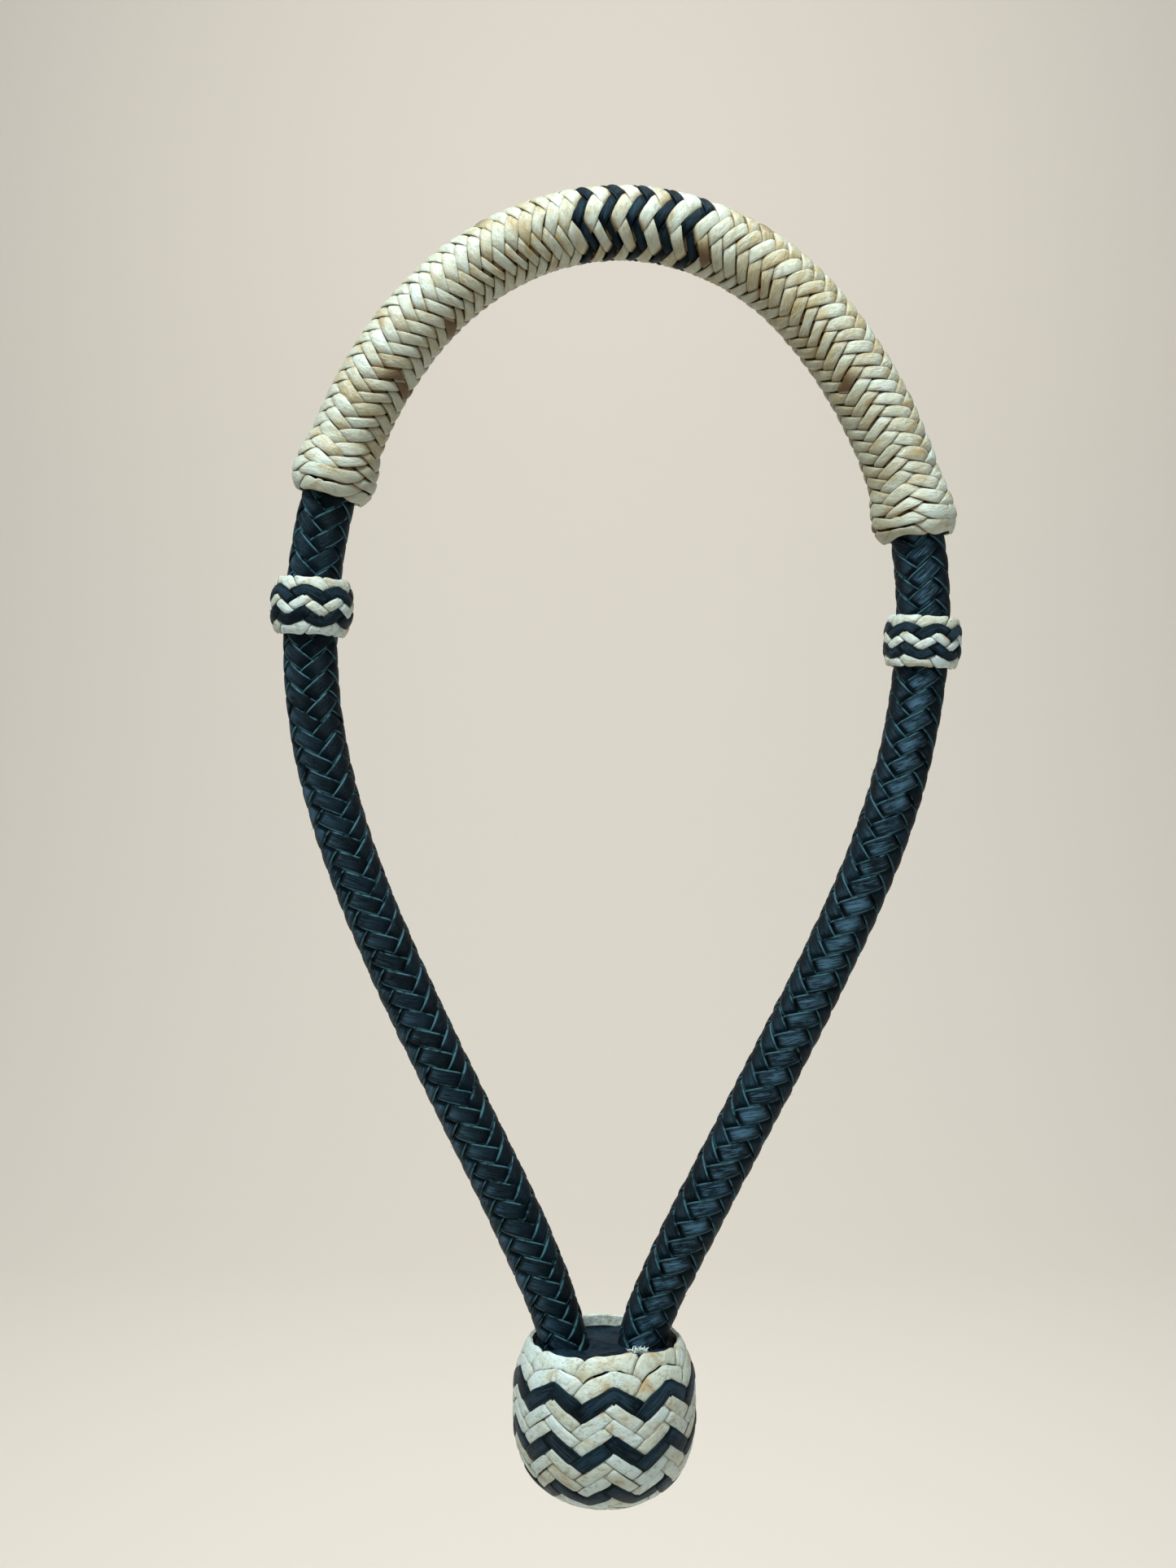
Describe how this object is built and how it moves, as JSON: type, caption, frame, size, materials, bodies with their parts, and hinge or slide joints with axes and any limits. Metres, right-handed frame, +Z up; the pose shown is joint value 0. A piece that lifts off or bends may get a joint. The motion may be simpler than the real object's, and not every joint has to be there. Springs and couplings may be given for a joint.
{
  "type": "bosal noseband",
  "caption": "Braided rawhide hackamore noseband: closed teardrop loop with a cream nose button, black plaited cheeks, side buttons and a round heel knot.",
  "frame": {"origin": "inside of the nose button under its middle, where the loop bears on the hook it hangs from", "axes": "+Z up along the loop's length as it hangs, from heel knot to nose; the loop lies in the XZ plane; +Y through the loop, away from the viewer"},
  "size_m": [0.1786, 0.0478, 0.34],
  "materials": {
    "black_plait": "satin",
    "black_interweave": "semi-gloss",
    "cream_rawhide": "satin",
    "black_leather": "gloss",
    "core_rawhide": "satin",
    "foundation_wrap": "matte",
    "binding_thread": "matte"
  },
  "bodies": {
    "root": {"plaited_body": "black_plait", "rawhide_core": "core_rawhide", "nose_foundation": "foundation_wrap", "nose_end_ring_left": "foundation_wrap", "nose_end_ring_right": "foundation_wrap", "nose_button_braid": "cream_rawhide", "nose_interweave_1": "black_interweave", "nose_interweave_2": "black_interweave", "nose_interweave_3": "black_interweave", "nose_interweave_4": "black_interweave", "nose_interweave_5": "black_interweave", "left_side_button_braid": "cream_rawhide", "left_side_foundation": "foundation_wrap", "left_side_interweave_upper": "black_interweave", "left_side_interweave_lower": "black_interweave", "right_side_button_braid": "cream_rawhide", "right_side_foundation": "foundation_wrap", "right_side_interweave_upper": "black_interweave", "right_side_interweave_lower": "black_interweave", "heel_knot_braid": "cream_rawhide", "heel_foundation": "foundation_wrap", "heel_binding": "binding_thread", "heel_filler": "black_leather", "heel_interweave_upper": "black_interweave", "heel_interweave_middle": "black_interweave", "heel_interweave_lower": "black_interweave"}
  },
  "joints": []
}
